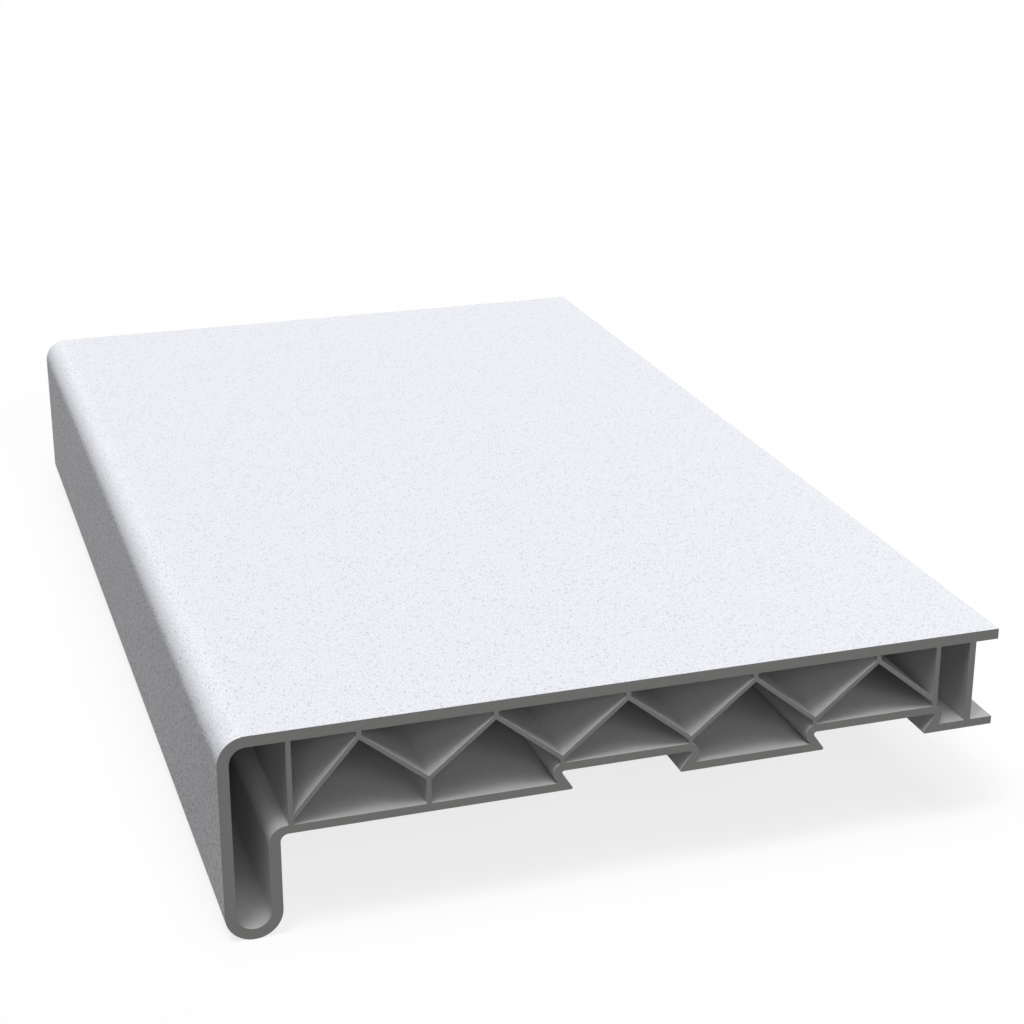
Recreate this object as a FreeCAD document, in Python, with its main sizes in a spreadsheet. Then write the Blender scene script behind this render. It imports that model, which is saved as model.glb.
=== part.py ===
"""Window sill board: an extruded plastic profile with a drooping nose, a trussed core and dovetails."""

import FreeCAD, Part
import Sketcher
import math
import os

# Driving sizes in millimetres, apart from the angle, which is in degrees.
# Across is measured back from the nose's front face, and depth down from the top face.
SIZES = {
    "width": 150.0,
    "board_length": 250.0,
    "board_thickness": 20.0,
    "nose_height": 40.0,
    "nose_thickness": 10.5,
    "nose_bend_radius": 5.25,
    "throat_radius": 1.5,
    "face_wall": 2.1,
    "base_wall": 1.6,
    "rear_wall": 1.3,
    "rear_channel": 4.6,
    "web_wall": 0.9,
    "strut_wall": 0.8,
    "front_web": 12.5,
    "bay_pitch": 25.0,
    "upper_node_depth": 3.2,
    "lower_node_depth": 13.45,
    "brace_foot_depth": 17.5,
    "groove_depth": 4.0,
    "groove_overhang": 0.55,
    "flank_angle": 35.0,
    "groove_root_radius": 0.5,
    "groove_lip_radius": 0.3,
}

# Two bays of the truss stand before the first groove's bay, and every second bay from there on has a groove.
BAYS_BEFORE_GROOVES = 2
BAYS_BETWEEN_GROOVES = 2

NODE = "sill_board"
SAME_PLACE = 1e-4

# Places across the section and depths, written in the sheet's names.
NOSE_CENTRE = "Sizes.nose_height - Sizes.nose_thickness / 2"
NOSE_INNER_BACK = "Sizes.nose_thickness - Sizes.face_wall"
CHAMBER_FLOOR = "Sizes.board_thickness - Sizes.base_wall"
CHAMBER_BACK = "Sizes.width - Sizes.rear_channel - Sizes.rear_wall"
CHANNEL_BACK = "Sizes.width - Sizes.rear_channel"
IN_TOP_WALL = "Sizes.face_wall / 2"
IN_BASE_WALL = "Sizes.board_thickness - Sizes.base_wall / 2"

# Half widths and depths of a groove and of the wall round it, which is as thick as the base.
FLANK_SLOPE = "tan(Sizes.flank_angle * 1 deg)"
WALL_ACROSS_FLANK = "Sizes.base_wall / cos(Sizes.flank_angle * 1 deg)"
HALF_ROOT = "Sizes.bay_pitch / 2 + Sizes.groove_overhang"
HALF_MOUTH = f"{HALF_ROOT} - Sizes.groove_depth * {FLANK_SLOPE}"
HALF_SHOULDER = f"{HALF_ROOT} + {WALL_ACROSS_FLANK} + Sizes.base_wall * {FLANK_SLOPE}"
HALF_WALL_FOOT = f"{HALF_MOUTH} + {WALL_ACROSS_FLANK}"
GROOVE_ROOT = "Sizes.board_thickness - Sizes.groove_depth"
SHOULDER = f"{GROOVE_ROOT} - Sizes.base_wall"


def make_sheet(doc):
    """The sheet of driving sizes, one named cell for each."""
    sheet = doc.addObject("Spreadsheet::Sheet", "Sizes")
    for row, (name, value) in enumerate(SIZES.items(), start=1):
        sheet.set(f"A{row}", name)
        sheet.set(f"B{row}", str(value))
        sheet.setAlias(f"B{row}", name)
    doc.recompute()


def value_of(body, expression):
    """The number that an expression in the sheet's names comes to."""
    return float(body.evalExpression(expression))


def section_point(body, place):
    """A place of the section, given as (across, depth), as a point of its sketch."""
    across, depth = place
    return FreeCAD.Vector(value_of(body, across), -value_of(body, depth), 0.0)


def section_sketch(body, name):
    """An empty sketch on the plane of the section: its x is across, and its y is up."""
    plane = next(f for f in body.Origin.OriginFeatures if f.Role == "XZ_Plane")
    sketch = body.newObject("Sketcher::SketchObject", name)
    sketch.AttachmentSupport = (plane, [""])
    sketch.MapMode = "FlatFace"
    return sketch


def tie_end(sketch, line, place):
    """Ties the far end of a line to its place across the section and its depth under the top face."""
    across, depth = place
    across_at = sketch.addConstraint(Sketcher.Constraint("DistanceX", -1, 1, line, 2, 1.0))
    depth_at = sketch.addConstraint(Sketcher.Constraint("DistanceY", line, 2, -1, 1, 1.0))
    sketch.setExpression(f"Constraints[{across_at}]", across)
    sketch.setExpression(f"Constraints[{depth_at}]", depth)


def polygon_sketch(body, name, corners):
    """A closed outline of straight lines, with each corner given as (across, depth)."""
    sketch = section_sketch(body, name)
    count = len(corners)
    points = [section_point(body, corner) for corner in corners]
    for i in range(count):
        sketch.addGeometry(Part.LineSegment(points[i - 1], points[i]))
    for i in range(count):
        sketch.addConstraint(Sketcher.Constraint("Coincident", i, 2, (i + 1) % count, 1))
    for i, corner in enumerate(corners):
        tie_end(sketch, i, corner)
    return sketch


def nosed_sketch(body, name, front, top, rear, floor, nose_back):
    """The board with its drooping nose: five straight sides, and a half circle under the nose."""
    sketch = section_sketch(body, name)
    corners = [(front, NOSE_CENTRE), (front, top), (rear, top), (rear, floor), (nose_back, floor)]
    corners.append((nose_back, NOSE_CENTRE))
    points = [section_point(body, corner) for corner in corners]
    for start, end in zip(points, points[1:]):
        sketch.addGeometry(Part.LineSegment(start, end))
    radius = (points[-1].x - points[0].x) / 2
    foot = (points[0] + points[-1]) / 2 - FreeCAD.Vector(0.0, radius, 0.0)
    arc = sketch.addGeometry(Part.Arc(points[-1], foot, points[0]))
    last = arc - 1
    for line in range(last):
        sketch.addConstraint(Sketcher.Constraint("Coincident", line, 2, line + 1, 1))
    # The arc's first end is its left one, because an arc runs the same way round as its angle.
    sketch.addConstraint(Sketcher.Constraint("Tangent", 0, 1, arc, 1))
    sketch.addConstraint(Sketcher.Constraint("Tangent", last, 2, arc, 2))
    for line, corner in enumerate(corners[1:]):
        tie_end(sketch, line, corner)
    sketch.addConstraint(Sketcher.Constraint("Vertical", 0))
    return sketch


def extrude(doc, body, name, sketch, kind):
    """Runs a sketch along the whole board, half each way, as a Pad or a Pocket."""
    feature = body.newObject(f"PartDesign::{kind}", name)
    feature.Profile = sketch
    feature.Midplane = True
    feature.setExpression("Length", "Sizes.board_length")
    body.Tip = feature
    doc.recompute()
    return feature


def repeat(doc, body, feature, count, bays):
    """Repeats a feature towards the rear, one copy every given number of bays."""
    if count < 2:
        return
    pattern = body.newObject("PartDesign::LinearPattern", feature.Name + "_row")
    pattern.Originals = [feature]
    pattern.Direction = (feature.Profile[0], ["H_Axis"])
    pattern.Occurrences = count
    pattern.setExpression("Length", f"{(count - 1) * bays} * Sizes.bay_pitch")
    body.Tip = pattern
    doc.recompute()


def edges_at(body, place):
    """Names of the edges that run the length of the board at one place of the section."""
    corner = section_point(body, place)
    found = []
    for number, edge in enumerate(body.Tip.Shape.Edges, start=1):
        ends = [vertex.Point for vertex in edge.Vertexes]
        offsets = [math.hypot(end.x - corner.x, end.z - corner.y) for end in ends]
        if len(ends) == 2 and max(offsets) < SAME_PLACE:
            found.append(f"Edge{number}")
    if not found:
        raise RuntimeError(f"no edge at {place}")
    return found


def round_edges(doc, body, name, places, radius):
    """Rounds the long edges at the given places of the section."""
    names = [edge for place in places for edge in edges_at(body, place)]
    base = body.Tip
    fillet = body.newObject("PartDesign::Fillet", name)
    fillet.Base = (base, names)
    fillet.setExpression("Radius", radius)
    body.Tip = fillet
    doc.recompute()


def rectangle(left, right, top, bottom):
    """Corners of an upright rectangle."""
    return [(left, top), (right, top), (right, bottom), (left, bottom)]


def upright(doc, body, name, centre, top, bottom):
    """A thin vertical web or post, centred across on the given place."""
    left = f"{centre} - Sizes.web_wall / 2"
    right = f"{centre} + Sizes.web_wall / 2"
    sketch = polygon_sketch(body, name + "_sketch", rectangle(left, right, top, bottom))
    return extrude(doc, body, name, sketch, "Pad")


def strut(doc, body, name, start, end):
    """A sloping web between two nodes of the truss, cut off plumb at both."""
    (left, left_depth), (right, right_depth) = start, end
    run = f"({right} - ({left}))"
    fall = f"({right_depth} - {left_depth})"
    half = f"Sizes.strut_wall / 2 * sqrt({run} * {run} + {fall} * {fall}) / {run}"
    corners = [
        (left, f"{left_depth} - {half}"),
        (right, f"{right_depth} - {half}"),
        (right, f"{right_depth} + {half}"),
        (left, f"{left_depth} + {half}"),
    ]
    sketch = polygon_sketch(body, name + "_sketch", corners)
    return extrude(doc, body, name, sketch, "Pad")


def groove_centre(number):
    """The middle of one groove, across the section: the first groove is number 0."""
    bays = BAYS_BEFORE_GROOVES + 0.5 + number * BAYS_BETWEEN_GROOVES
    return f"Sizes.front_web + {bays} * Sizes.bay_pitch"


def groove_edges(half_width, depth, count):
    """Both sides of every groove, at a half width from its middle and a depth."""
    middles = [groove_centre(number) for number in range(count)]
    return [(f"{middle} {sign} ({half_width})", depth) for middle in middles for sign in "-+"]


def dovetail(body, name, half_at_root, root, half_at_mouth):
    """The first groove's outline, or its wall's: narrow at the underside and wide at its root."""
    left_root, right_root = groove_edges(half_at_root, root, 1)
    left_mouth, right_mouth = groove_edges(half_at_mouth, "Sizes.board_thickness", 1)
    return polygon_sketch(body, name, [left_root, right_root, right_mouth, left_mouth])


def make_shell(doc, body):
    """The skin: the board and its nose, hollowed to even walls, with bends as thick as the walls."""
    outline = nosed_sketch(
        body, "outline_sketch", "0", "0", "Sizes.width", "Sizes.board_thickness", "Sizes.nose_thickness"
    )
    extrude(doc, body, "outline", outline, "Pad")
    round_edges(doc, body, "nose_bend", [("0", "0")], "Sizes.nose_bend_radius")
    throat = ("Sizes.nose_thickness", "Sizes.board_thickness")
    round_edges(doc, body, "throat", [throat], "Sizes.throat_radius")

    skin = "Sizes.face_wall"
    chamber = nosed_sketch(body, "chamber_sketch", skin, skin, CHAMBER_BACK, CHAMBER_FLOOR, NOSE_INNER_BACK)
    extrude(doc, body, "chamber", chamber, "Pocket")
    round_edges(doc, body, "chamber_bend", [(skin, skin)], "Sizes.nose_bend_radius - Sizes.face_wall")
    inner_radius = "Sizes.throat_radius + (Sizes.face_wall + Sizes.base_wall) / 2"
    round_edges(doc, body, "chamber_throat", [(NOSE_INNER_BACK, CHAMBER_FLOOR)], inner_radius)

    channel = rectangle(CHANNEL_BACK, "Sizes.width", "Sizes.face_wall", CHAMBER_FLOOR)
    sketch = polygon_sketch(body, "rear_channel_sketch", channel)
    extrude(doc, body, "rear_channel", sketch, "Pocket")


def make_groove_walls(doc, body, count):
    """The walls that the grooves are cut into: dovetails one wall larger all round, with round shoulders."""
    sketch = dovetail(body, "groove_wall_sketch", HALF_SHOULDER, SHOULDER, HALF_WALL_FOOT)
    wall = extrude(doc, body, "groove_wall", sketch, "Pad")
    repeat(doc, body, wall, count, BAYS_BETWEEN_GROOVES)
    shoulders = groove_edges(HALF_SHOULDER, SHOULDER, count)
    round_edges(doc, body, "groove_shoulders", shoulders, "Sizes.groove_root_radius + Sizes.base_wall")


def make_truss(doc, body, bays):
    """The core: an upright web at each end, and between them struts that rise and fall once in each bay."""
    first_top = "Sizes.front_web + Sizes.bay_pitch / 2"
    first_low = "Sizes.front_web + Sizes.bay_pitch"
    second_top = "Sizes.front_web + Sizes.bay_pitch * 3 / 2"
    rear_web = f"Sizes.front_web + {bays} * Sizes.bay_pitch"
    upper = "Sizes.upper_node_depth"
    lower = "Sizes.lower_node_depth"

    upright(doc, body, "front_web", "Sizes.front_web", IN_TOP_WALL, IN_BASE_WALL)
    upright(doc, body, "rear_web", rear_web, IN_TOP_WALL, IN_BASE_WALL)
    hanger = upright(doc, body, "upper_post", first_top, IN_TOP_WALL, upper)
    repeat(doc, body, hanger, bays, 1)
    foot = upright(doc, body, "lower_post", first_low, lower, IN_BASE_WALL)
    repeat(doc, body, foot, bays - 1, 1)

    strut(doc, body, "front_brace", ("Sizes.front_web", "Sizes.brace_foot_depth"), (first_top, upper))
    falling = strut(doc, body, "falling_strut", (first_top, upper), (first_low, lower))
    repeat(doc, body, falling, bays, 1)
    rising = strut(doc, body, "rising_strut", (first_low, lower), (second_top, upper))
    repeat(doc, body, rising, bays - 1, 1)


def cut_grooves(doc, body, count):
    """The dovetail grooves in the underside, with rounded roots and blunted lips."""
    sketch = dovetail(body, "groove_sketch", HALF_ROOT, GROOVE_ROOT, HALF_MOUTH)
    groove = extrude(doc, body, "groove", sketch, "Pocket")
    repeat(doc, body, groove, count, BAYS_BETWEEN_GROOVES)
    roots = groove_edges(HALF_ROOT, GROOVE_ROOT, count)
    round_edges(doc, body, "groove_roots", roots, "Sizes.groove_root_radius")
    lips = groove_edges(HALF_MOUTH, "Sizes.board_thickness", count)
    round_edges(doc, body, "groove_lips", lips, "Sizes.groove_lip_radius")


def make_board(doc):
    """The whole board as one body, with its origin at the nose's foot, under the middle of the width."""
    body = doc.addObject("PartDesign::Body", NODE)
    body.Label = NODE
    core_width = value_of(body, f"{CHAMBER_BACK} - Sizes.front_web - Sizes.web_wall")
    bays = int(core_width / value_of(body, "Sizes.bay_pitch"))
    grooves = (bays - BAYS_BEFORE_GROOVES - 1) // BAYS_BETWEEN_GROOVES + 1

    make_shell(doc, body)
    if grooves > 0:
        make_groove_walls(doc, body, grooves)
    make_truss(doc, body, bays)
    if grooves > 0:
        cut_grooves(doc, body, grooves)
    body.setExpression("Placement.Base.x", "-Sizes.width / 2")
    body.setExpression("Placement.Base.z", "Sizes.nose_height")
    doc.recompute()
    return body


def check_document(doc):
    """Stops if any object of the document failed."""
    for item in doc.Objects:
        if "Invalid" in item.State or "Error" in item.State:
            raise RuntimeError(f"{item.Name} failed: {item.State}")


def check_shape(body):
    """Stops if the board isn't one valid solid."""
    shape = body.Shape
    if shape.isNull() or not shape.isValid() or len(shape.Solids) != 1:
        raise RuntimeError(f"{body.Label} isn't one valid solid")


def main():
    doc = FreeCAD.newDocument("SillBoard")
    make_sheet(doc)
    board = make_board(doc)
    check_document(doc)
    check_shape(board)
    os.makedirs("parts", exist_ok=True)
    board.Shape.exportStep(os.path.join("parts", f"{board.Label}.step"))
    box = board.Shape.BoundBox
    print(f"{board.Label}: {box.XLength:.2f} x {box.YLength:.2f} x {box.ZLength:.2f} mm")
    print(f"volume {board.Shape.Volume / 1000:.1f} cm3, {len(board.Shape.Faces)} faces")


main()
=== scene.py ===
"""Looks of a hollow plastic window sill board: decor film on a grey extruded profile, in a white studio."""

import math

import bpy
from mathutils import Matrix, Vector


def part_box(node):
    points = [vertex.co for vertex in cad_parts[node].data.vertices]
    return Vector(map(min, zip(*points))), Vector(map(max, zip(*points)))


MM = 0.001
WHITE = (1.0, 1.0, 1.0, 1.0)

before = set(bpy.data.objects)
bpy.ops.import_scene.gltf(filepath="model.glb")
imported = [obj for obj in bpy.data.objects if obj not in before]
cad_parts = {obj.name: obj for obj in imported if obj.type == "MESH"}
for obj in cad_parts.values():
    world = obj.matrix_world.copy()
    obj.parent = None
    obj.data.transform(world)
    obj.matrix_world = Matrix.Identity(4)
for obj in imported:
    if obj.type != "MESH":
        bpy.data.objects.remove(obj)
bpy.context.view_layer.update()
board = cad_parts["sill_board"]
low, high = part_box("sill_board")

# Sizes of the section that the film follows. Its mask reaches SKIN deep, which is less than any wall.
NOSE_THICKNESS = 10.5 * MM
NOSE_BEND_RADIUS = 5.25 * MM
NOSE_FOOT_RADIUS = NOSE_THICKNESS / 2
SKIN = 0.5 * MM

# A face is part of a cut end when its normal lies more along the board than this.
END_FACING = 0.7

# The film's print. Scales are in features a metre. The shares are pairs, for the top and for the nose's
# front, and the other pairs are the two ends of a range.
PRINT_STRETCH = (1.0, 0.4, 1.0)
GRAIN_SCALE = 3700.0
GRAIN_START = (0.56, 0.60)
GRAIN_FULL = 0.26
GRAIN_SHARE = (0.33, 0.6)
DRIFT_SCALE = 420.0
DRIFT_RANGE = (0.3, 0.7)
SPECK_SCALE = 1500.0
SPECK_REACH = (0.42, 0.14)
SPECK_CHANCE = (0.1, 0.95)
SPECK_SHARE = (0.25, 1.0)
TOP_PAPER = (242, 244, 250)
# The next colour is a painted highlight along the nose's bend.
BEND_HIGHLIGHT_PAPER = (248, 250, 255)
FRONT_PAPER = (242, 243, 246)
GREY_GRAIN = (178, 180, 186)
DARK_SPECK = (100, 101, 105)

# Places on the film, measured back from the nose's front: where the front's bolder print starts, and where
# the film is painted whiter along the nose's bend, as a painted highlight.
BOLD_FROM = 0.3 * MM
HIGHLIGHT_FROM = 0.5 * MM
HIGHLIGHT_FULL_FROM = 3.4 * MM
HIGHLIGHT_FULL_TO = 3.8 * MM
HIGHLIGHT_TO = 6.6 * MM

# The extruded wall's draw lines, and the saw's marks on the cut ends: arcs round an axis below the board.
DRAW_STRETCH = (1.0, 0.01, 1.0)
DRAW_SCALE = 900.0
WALL_COLOURS = ((176, 177, 176), (186, 187, 186))
SAW_AXIS = (20 * MM, -160 * MM)
SAW_SCALE = 2400.0
DUST_SCALE = 3000.0
ARC_SHARE = 0.6
# The cut ends' grey is darker than the wall's, though it is the same plastic: painted shade on the ends.
SHADED_CUT_COLOURS = ((123, 123, 121), (133, 133, 131))

# Heights of the relief, and how rough each finish is.
FILM_RELIEF = 0.012 * MM
WALL_RELIEF = 0.01 * MM
CUT_RELIEF = 0.015 * MM
RELIEF_STRENGTH = 0.6
FILM_ROUGHNESS = (0.62, 0.72)
WALL_ROUGHNESS = 0.42
CUT_ROUGHNESS = 0.65
SPECULAR_LEVEL = 0.15

# The camera of the photograph, in the board's own frame.
CAMERA_AT = Vector((-127.05, -447.76, 205.55)) * MM
CAMERA_AZIMUTH = -18.013
CAMERA_ELEVATION = 21.011
CAMERA_LENS = 74.95
SENSOR = 36.0

# Lamps: direction, spread in degrees, and the light that a white face turned to the lamp gets. With the sky
# they give a level white face a light of about 1, so that a colour looks as it is written.
LAMPS = {
    "key": ((-0.06, -0.16, 1.0), 50.0, 0.43),
    "side_key": ((-0.25, -0.16, 1.0), 16.0, 0.297),
    "front_fill": ((0.06, -0.87, 0.46), 30.0, 0.27),
    "low_fill": ((-0.28, -0.93, 0.20), 36.0, 0.21),
    "rear_fill": ((0.62, 0.78, 0.06), 6.0, 0.45),
}
SKY_LIGHT = 0.08

# The floor: what it sheds back on the board, how much of its shadow shows, and where that fades out.
FLOOR_SIZE = 8.0
FLOOR_SHED = 0.07
SHADOW_SHARE = 0.22
SHADOW_WHOLE_TO = 0.2
SHADOW_GONE_AT = 0.5


def srgb(red, green, blue):
    """A colour of 0 to 255, as the eye reads it, to the linear one that a shader takes."""
    linear = [((c / 255 + 0.055) / 1.055) ** 2.4 for c in (red, green, blue)]
    return (*linear, 1.0)


class Nodes:
    """A material's node tree, with short calls to make and join its nodes."""

    def __init__(self, owner):
        owner.use_nodes = True
        self.tree = owner.node_tree
        self.tree.nodes.clear()

    def add(self, kind, values=None, **settings):
        """A new node of this kind, with its settings, and its inputs set or joined by name."""
        node = self.tree.nodes.new(kind)
        for name, value in settings.items():
            setattr(node, name, value)
        for name, value in (values or {}).items():
            self.put(node.inputs[name], value)
        return node

    def put(self, socket, value):
        """Joins another node's output to the socket, or sets the socket to a plain value."""
        if isinstance(value, bpy.types.NodeSocket):
            self.tree.links.new(value, socket)
        else:
            socket.default_value = value

    def math(self, operation, *values, clamp=False):
        """The result of one arithmetic step on these values."""
        node = self.add("ShaderNodeMath", operation=operation, use_clamp=clamp)
        for socket, value in zip(node.inputs, values):
            self.put(socket, value)
        return node.outputs[0]

    def mix(self, factor, first, second):
        """A colour that goes from first to second."""
        node = self.add("ShaderNodeMix", data_type="RGBA")
        colour_sockets = [s for s in node.inputs if s.type == "RGBA"]
        self.put(node.inputs[0], factor)
        self.put(colour_sockets[0], first)
        self.put(colour_sockets[1], second)
        return next(s for s in node.outputs if s.type == "RGBA")

    def blend(self, factor, first, second):
        """A number that goes from first to second."""
        node = self.add("ShaderNodeMix", data_type="FLOAT")
        for socket, value in zip(node.inputs[0:1] + node.inputs[2:4], (factor, first, second)):
            self.put(socket, value)
        return node.outputs[0]

    def ramp(self, value, start, end):
        """0 on start's side, 1 on end's side, and smooth between."""
        node = self.add("ShaderNodeMapRange", interpolation_type="SMOOTHSTEP")
        for name, number in (("Value", value), ("From Min", start), ("From Max", end)):
            self.put(node.inputs[name], number)
        return node.outputs[0]

    def noise(self, place, scale, detail):
        """A smooth random number from 0 to 1 that changes from place to place."""
        values = {"Vector": place, "Scale": scale, "Detail": detail}
        return self.add("ShaderNodeTexNoise", values).outputs[0]

    def stretch(self, place, scale):
        """The place scaled along each axis, so that a pattern is drawn out where the scale is small."""
        return self.add("ShaderNodeMapping", {"Vector": place, "Scale": scale}).outputs[0]


def distance_from_axis(nodes, across, up, axis):
    """Distance from a line along the board, through the point (across, up) of the section."""
    aside = nodes.math("SUBTRACT", across, axis[0])
    above = nodes.math("SUBTRACT", up, axis[1])
    squares = nodes.math("ADD", nodes.math("MULTIPLY", aside, aside), nodes.math("MULTIPLY", above, above))
    return nodes.math("SQRT", squares)


def film_mask(nodes, across, up, end_cut):
    """1 on the top, the nose's bend, front and foot, where the decor film lies, and 0 elsewhere."""
    bend_axis = (low.x + NOSE_BEND_RADIUS, high.z - NOSE_BEND_RADIUS)
    foot_axis = (low.x + NOSE_FOOT_RADIUS, low.z + NOSE_FOOT_RADIUS)
    top = nodes.math("GREATER_THAN", up, high.z - SKIN)
    front = nodes.math("LESS_THAN", across, low.x + SKIN)

    left_of_bend = nodes.math("LESS_THAN", across, bend_axis[0])
    above_bend = nodes.math("GREATER_THAN", up, bend_axis[1])
    from_bend = distance_from_axis(nodes, across, up, bend_axis)
    outside_bend = nodes.math("GREATER_THAN", from_bend, NOSE_BEND_RADIUS - SKIN)
    bend = nodes.math("MULTIPLY", nodes.math("MULTIPLY", left_of_bend, above_bend), outside_bend)

    below_foot = nodes.math("LESS_THAN", up, foot_axis[1])
    from_foot = distance_from_axis(nodes, across, up, foot_axis)
    outside_foot = nodes.math("GREATER_THAN", from_foot, NOSE_FOOT_RADIUS - SKIN)
    foot = nodes.math("MULTIPLY", below_foot, outside_foot)

    anywhere = nodes.math("ADD", nodes.math("ADD", top, front), nodes.math("ADD", bend, foot), clamp=True)
    return nodes.math("MULTIPLY", anywhere, nodes.math("SUBTRACT", 1.0, end_cut))


def bend_highlight(nodes, across, up):
    """1 on the brow of the nose's bend, where a highlight is painted, fading to 0 on both sides."""
    rising = nodes.ramp(across, low.x + HIGHLIGHT_FROM, low.x + HIGHLIGHT_FULL_FROM)
    falling = nodes.ramp(across, low.x + HIGHLIGHT_TO, low.x + HIGHLIGHT_FULL_TO)
    above = nodes.math("GREATER_THAN", up, high.z - NOSE_BEND_RADIUS)
    return nodes.math("MULTIPLY", nodes.math("MULTIPLY", rising, falling), above)


def film_print(nodes, place, across, up):
    """The film's stone look: bluish white, grey grain and darker specks bolder on the front, a painted
    highlight on the bend.
    """
    front = nodes.ramp(across, low.x + BOLD_FROM, low.x)
    stretched = nodes.stretch(place, PRINT_STRETCH)
    grain = nodes.noise(stretched, GRAIN_SCALE, detail=0.0)
    drifts = nodes.noise(place, DRIFT_SCALE, detail=2.0)
    specks = nodes.add("ShaderNodeTexVoronoi", {"Vector": stretched, "Scale": SPECK_SCALE})
    chance = nodes.add("ShaderNodeSeparateColor", {"Color": specks.outputs["Color"]}).outputs[0]
    spot = nodes.ramp(specks.outputs["Distance"], *SPECK_REACH)
    dark_spot = nodes.math("MULTIPLY", spot, nodes.ramp(chance, *SPECK_CHANCE))

    start = nodes.blend(nodes.ramp(drifts, *DRIFT_RANGE), *GRAIN_START)
    grey_spot = nodes.ramp(grain, start, GRAIN_FULL)
    grey_share = nodes.math("MULTIPLY", grey_spot, nodes.blend(front, *GRAIN_SHARE))
    speck_share = nodes.math("MULTIPLY", dark_spot, nodes.blend(front, *SPECK_SHARE))
    # Painted highlight: the top's paper turns whiter along the brow of the nose's bend.
    highlighted_top_paper = nodes.mix(bend_highlight(nodes, across, up), srgb(*TOP_PAPER), srgb(*BEND_HIGHLIGHT_PAPER))
    paper = nodes.mix(front, highlighted_top_paper, srgb(*FRONT_PAPER))
    grained = nodes.mix(grey_share, paper, srgb(*GREY_GRAIN))
    colour = nodes.mix(speck_share, grained, srgb(*DARK_SPECK))
    return colour, grain


def extruded_wall(nodes, place):
    """Grey plastic with faint draw lines along the board."""
    lines = nodes.noise(nodes.stretch(place, DRAW_STRETCH), DRAW_SCALE, detail=3.0)
    darker, lighter = WALL_COLOURS
    colour = nodes.mix(lines, srgb(*darker), srgb(*lighter))
    return colour, lines


def shaded_sawn_end(nodes, place, across, up):
    """The same plastic cut through, marked by the arcs of the saw's teeth, in a darker grey: painted shade.
    """
    reach = distance_from_axis(nodes, across, up, SAW_AXIS)
    arc_place = nodes.add("ShaderNodeCombineXYZ", {"X": reach}).outputs[0]
    arcs = nodes.noise(arc_place, SAW_SCALE, detail=2.0)
    dust = nodes.noise(place, DUST_SCALE, detail=2.0)
    arcs_part = nodes.math("MULTIPLY", arcs, ARC_SHARE)
    dust_part = nodes.math("MULTIPLY", dust, 1.0 - ARC_SHARE)
    marks = nodes.math("ADD", arcs_part, dust_part)
    darker, lighter = SHADED_CUT_COLOURS
    colour = nodes.mix(marks, srgb(*darker), srgb(*lighter))
    return colour, marks


def board_material():
    """One material for the board: film, extruded wall or sawn end, told apart by place and direction."""
    material = bpy.data.materials.new("sill_board_finish")
    nodes = Nodes(material)
    place = nodes.add("ShaderNodeTexCoord").outputs["Object"]
    normal = nodes.add("ShaderNodeNewGeometry").outputs["Normal"]
    xyz = nodes.add("ShaderNodeSeparateXYZ", {"Vector": place}).outputs
    facing = nodes.add("ShaderNodeSeparateXYZ", {"Vector": normal}).outputs
    end_cut = nodes.math("GREATER_THAN", nodes.math("ABSOLUTE", facing["Y"]), END_FACING)
    film = film_mask(nodes, xyz["X"], xyz["Z"], end_cut)

    film_colour, grain = film_print(nodes, place, xyz["X"], xyz["Z"])
    wall_colour, lines = extruded_wall(nodes, place)
    shaded_cut_colour, marks = shaded_sawn_end(nodes, place, xyz["X"], xyz["Z"])
    # The cut ends take a darker grey than the walls of the same plastic: painted shade.
    body_colour = nodes.mix(end_cut, wall_colour, shaded_cut_colour)
    colour = nodes.mix(film, body_colour, film_colour)

    film_height = nodes.math("MULTIPLY", grain, FILM_RELIEF)
    wall_height = nodes.math("MULTIPLY", lines, WALL_RELIEF)
    cut_height = nodes.math("MULTIPLY", marks, CUT_RELIEF)
    body_height = nodes.blend(end_cut, wall_height, cut_height)
    height = nodes.blend(film, body_height, film_height)
    relief = {"Height": height, "Strength": RELIEF_STRENGTH, "Distance": 1.0}
    bump = nodes.add("ShaderNodeBump", relief).outputs[0]

    body_roughness = nodes.blend(end_cut, WALL_ROUGHNESS, CUT_ROUGHNESS)
    roughness = nodes.blend(film, body_roughness, nodes.blend(grain, *FILM_ROUGHNESS))
    surface = {
        "Base Color": colour,
        "Roughness": roughness,
        "Normal": bump,
        "Specular IOR Level": SPECULAR_LEVEL,
    }
    shader = nodes.add("ShaderNodeBsdfPrincipled", surface)
    nodes.add("ShaderNodeOutputMaterial", {"Surface": shader.outputs[0]})
    return material


def seen_straight(nodes):
    """1 for what the camera sees, straight or by way of metal or glass, 0 for light that is shed."""
    path = nodes.add("ShaderNodeLightPath").outputs
    reflected = nodes.math("ADD", path["Is Glossy Ray"], path["Is Transmission Ray"], clamp=True)
    return nodes.math("ADD", path["Is Camera Ray"], reflected, clamp=True)


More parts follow.
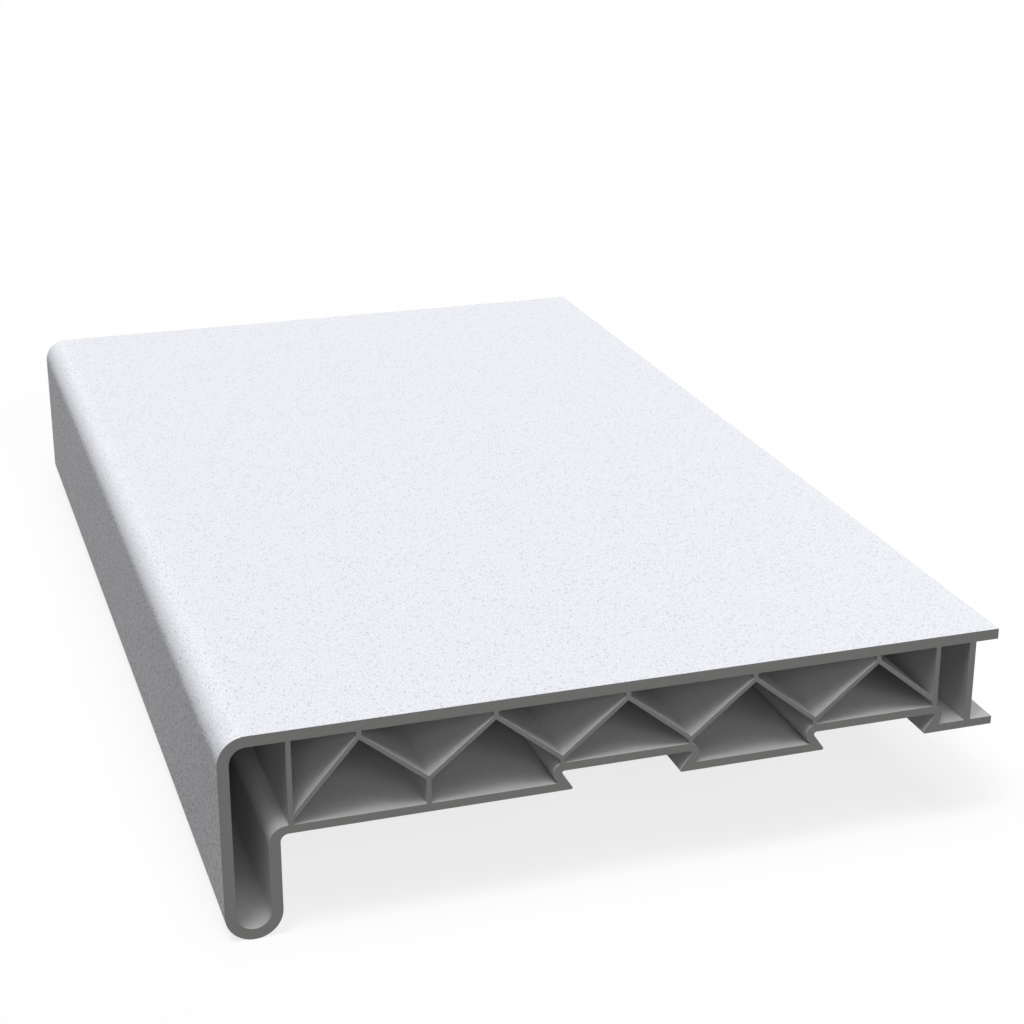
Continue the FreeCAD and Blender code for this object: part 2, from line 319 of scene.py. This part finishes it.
def make_floor():
    """A white floor that keeps a pale shadow near the board and melts into the backdrop further off."""
    bpy.ops.mesh.primitive_plane_add(size=FLOOR_SIZE, location=(0.0, 0.0, low.z))
    floor = bpy.context.object
    floor.name = "floor"
    material = bpy.data.materials.new("white_floor")
    nodes = Nodes(material)
    place = nodes.add("ShaderNodeTexCoord").outputs["Object"]
    away = nodes.add("ShaderNodeVectorMath", {0: place}, operation="LENGTH").outputs["Value"]
    near = nodes.ramp(away, SHADOW_GONE_AT, SHADOW_WHOLE_TO)
    shadow_share = nodes.math("MULTIPLY", near, SHADOW_SHARE)
    plain_white = nodes.add("ShaderNodeEmission", {"Color": WHITE, "Strength": 1.0}).outputs[0]
    shaded = nodes.add("ShaderNodeBsdfDiffuse", {"Color": WHITE}).outputs[0]
    seen = nodes.add("ShaderNodeMixShader", {0: shadow_share, 1: plain_white, 2: shaded}).outputs[0]
    shed_colour = (FLOOR_SHED, FLOOR_SHED, FLOOR_SHED, 1.0)
    shed = nodes.add("ShaderNodeBsdfDiffuse", {"Color": shed_colour}).outputs[0]
    both = nodes.add("ShaderNodeMixShader", {0: seen_straight(nodes), 1: shed, 2: seen}).outputs[0]
    nodes.add("ShaderNodeOutputMaterial", {"Surface": both})
    floor.data.materials.append(material)


def make_world():
    """A soft even sky that is white where it is looked at."""
    world = bpy.data.worlds.new("studio")
    bpy.context.scene.world = world
    nodes = Nodes(world)
    sky = nodes.add("ShaderNodeBackground", {"Color": WHITE, "Strength": SKY_LIGHT}).outputs[0]
    backdrop = nodes.add("ShaderNodeBackground", {"Color": WHITE, "Strength": 1.0}).outputs[0]
    both = nodes.add("ShaderNodeMixShader", {0: seen_straight(nodes), 1: sky, 2: backdrop}).outputs[0]
    nodes.add("ShaderNodeOutputWorld", {"Surface": both})


def make_lamp(name, direction, spread, light):
    """A far lamp that shines from this direction."""
    lamp = bpy.data.lights.new(name, "SUN")
    lamp.angle = math.radians(spread)
    lamp.energy = light * math.pi
    item = bpy.data.objects.new(name, lamp)
    bpy.context.scene.collection.objects.link(item)
    item.rotation_mode = "QUATERNION"
    item.rotation_quaternion = (-Vector(direction)).to_track_quat("-Z", "Y")


def make_camera():
    """The photograph's own viewpoint."""
    camera = bpy.data.cameras.new("camera")
    camera.lens = CAMERA_LENS
    camera.sensor_width = SENSOR
    item = bpy.data.objects.new("camera", camera)
    bpy.context.scene.collection.objects.link(item)
    turn = math.radians(CAMERA_AZIMUTH)
    lift = math.radians(CAMERA_ELEVATION)
    back = Vector((math.sin(turn) * math.cos(lift), -math.cos(turn) * math.cos(lift), math.sin(lift)))
    item.location = CAMERA_AT
    item.rotation_mode = "QUATERNION"
    item.rotation_quaternion = (-back).to_track_quat("-Z", "Y")
    bpy.context.scene.camera = item


def dress_board():
    """Gives the board its finish."""
    material = board_material()
    for place in board.material_slots:
        place.material = material


make_camera()
dress_board()
make_floor()
make_world()
for lamp_name, (direction, spread, light) in LAMPS.items():
    make_lamp(lamp_name, direction, spread, light)
bpy.context.scene.view_settings.view_transform = "Standard"
